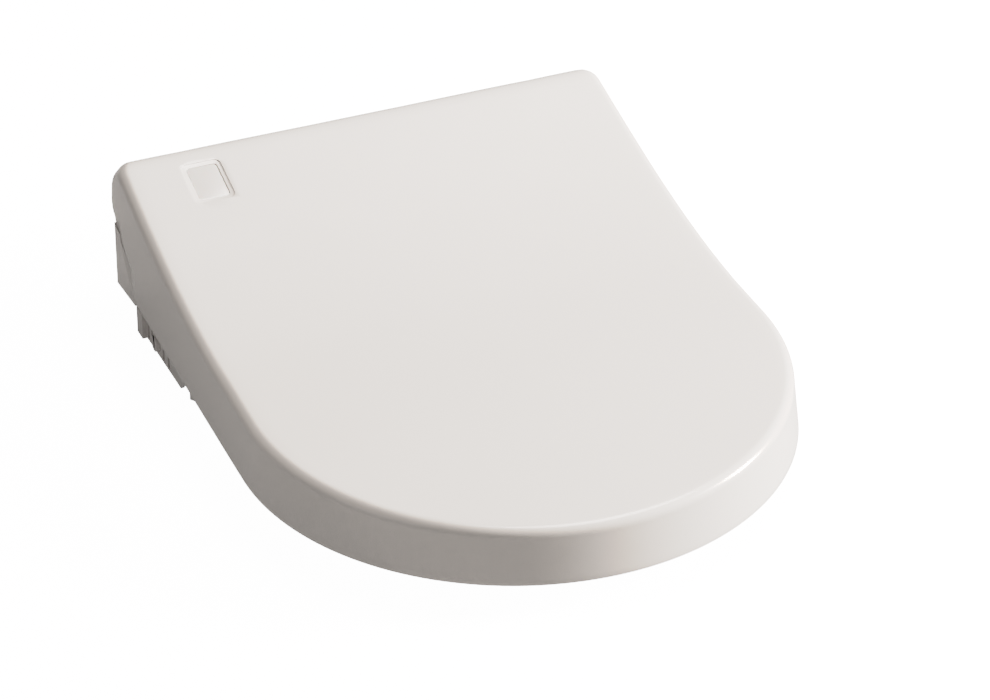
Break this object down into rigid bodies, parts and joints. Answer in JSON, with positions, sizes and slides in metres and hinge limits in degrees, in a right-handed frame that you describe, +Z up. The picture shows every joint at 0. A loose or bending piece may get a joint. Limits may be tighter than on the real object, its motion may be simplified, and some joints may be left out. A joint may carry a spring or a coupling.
{
  "type": "electric bidet seat",
  "caption": "Electric bidet seat for a toilet bowl: sloping one-piece lid over a heated ring seat, with a rear unit for spray wand, warm air and controls.",
  "frame": {"origin": "middle of the object in plan, on the plane of the bowl that it stands on", "axes": "+X across the seat, +Y towards the straight rear edge, +Z up from the bowl; the rounded front points to -Y"},
  "size_m": [0.3918, 0.4934, 0.1142],
  "materials": {
    "gloss_shell": "moulded, polished warm off-white",
    "pale_plastic": "moulded, fine satin",
    "window_plastic": "polished, slightly see-through",
    "grey_plastic": "moulded, satin",
    "dark_plastic": "moulded, satin",
    "rubber": "soft matt",
    "steel": "brushed",
    "brass": "turned",
    "heater_foil": "foil",
    "nylon": "natural nylon",
    "circuit_board": "lacquered laminate"
  },
  "bodies": {
    "chassis": {"base_tray": "pale_plastic", "housing_cover": "gloss_shell", "side_cover_left": "gloss_shell", "side_cover_right": "gloss_shell", "sensor_lens": "dark_plastic", "hinge_pin_left": "steel", "hinge_pin_right": "steel", "lid_damper": "grey_plastic", "seat_damper": "grey_plastic", "nozzle_cradle": "pale_plastic", "nozzle_motor": "grey_plastic", "inlet_fitting": "brass", "inlet_valve": "nylon", "heater_tank": "steel", "wash_pump": "dark_plastic", "feed_pipe": "nylon", "tank_pipe": "nylon", "blower_case": "pale_plastic", "blower_cover": "pale_plastic", "fan_motor": "steel", "cord_gland": "pale_plastic", "power_board": "circuit_board", "transformer": "dark_plastic", "control_board": "circuit_board"},
    "seat": {"seat_top_shell": "gloss_shell", "seat_bottom_shell": "pale_plastic", "seat_heater": "heater_foil", "seat_arm_left": "gloss_shell", "seat_arm_right": "gloss_shell", "seat_bush_left": "nylon", "seat_bush_right": "nylon", "seat_bumper_rear_left": "rubber", "seat_bumper_rear_right": "rubber", "seat_bumper_front_left": "rubber", "seat_bumper_front_right": "rubber"},
    "lid": {"lid_shell": "gloss_shell", "lid_window": "window_plastic", "lid_bumper_rear_left": "rubber", "lid_bumper_rear_right": "rubber", "lid_bumper_front_left": "rubber", "lid_bumper_front_right": "rubber"},
    "plate": {"mounting_plate": "grey_plastic"},
    "release": {"release_button": "pale_plastic"},
    "nozzle": {"nozzle_wand": "steel", "nozzle_tip": "nylon", "nozzle_rack": "nylon"},
    "pinion": {"drive_pinion": "nylon"},
    "power_key": {"power_button": "pale_plastic"},
    "wash_key": {"wash_button": "pale_plastic"},
    "filter": {"filter_cartridge": "dark_plastic"},
    "fan": {"fan_wheel": "dark_plastic"},
    "flap": {"dryer_flap": "pale_plastic"},
    "drain": {"drain_knob": "pale_plastic"}
  },
  "joints": [
    {"name": "seat_hinge", "type": "hinge", "parent": "chassis", "child": "seat", "pos_m": [0, 0.22385, 0.091], "axis": [1, 0, 0], "range_deg": [-90, 0]},
    {"name": "lid_hinge", "type": "hinge", "parent": "seat", "child": "lid", "pos_m": [0, 0.22385, 0.091], "axis": [-1, 0, 0], "range_deg": [0, 100]},
    {"name": "plate_slide", "type": "slide", "parent": "chassis", "child": "plate", "axis": [0, 1, 0], "range_m": [0, 0.06]},
    {"name": "release_press", "type": "slide", "parent": "chassis", "child": "release", "axis": [-1, 0, 0], "range_m": [0, 0.003], "stiffness_N_per_m": 400, "springref_m": -0.002},
    {"name": "nozzle_slide", "type": "slide", "parent": "chassis", "child": "nozzle", "axis": [0, -0.9397, -0.342], "range_m": [0, 0.078]},
    {"name": "pinion_spin", "type": "hinge", "parent": "chassis", "child": "pinion", "pos_m": [0.0097, 0.10369, 0.03081], "axis": [-1, 0, 0], "range_deg": [0, 560]},
    {"name": "power_press", "type": "slide", "parent": "chassis", "child": "power_key", "axis": [-1, 0, 0], "range_m": [0, 0.0012], "stiffness_N_per_m": 300, "springref_m": -0.002},
    {"name": "wash_press", "type": "slide", "parent": "chassis", "child": "wash_key", "axis": [-1, 0, 0], "range_m": [0, 0.0012], "stiffness_N_per_m": 300, "springref_m": -0.002},
    {"name": "filter_slide", "type": "slide", "parent": "chassis", "child": "filter", "axis": [1, 0, 0], "range_m": [0, 0.045]},
    {"name": "fan_spin", "type": "hinge", "parent": "chassis", "child": "fan", "pos_m": [0.084, 0.14985, 0.024], "axis": [0, 0, 1], "continuous": true},
    {"name": "flap_hinge", "type": "hinge", "parent": "chassis", "child": "flap", "pos_m": [0.05, 0.09045, 0.02], "axis": [-1, 0, 0], "range_deg": [0, 70]},
    {"name": "drain_turn", "type": "hinge", "parent": "chassis", "child": "drain", "pos_m": [-0.1869, 0.15785, 0.0095], "axis": [-1, 0, 0], "range_deg": [0, 90]}
  ],
  "couplings": [
    {"joint": "pinion_spin", "follows": "nozzle_slide", "rad_per_m": 125}
  ]
}
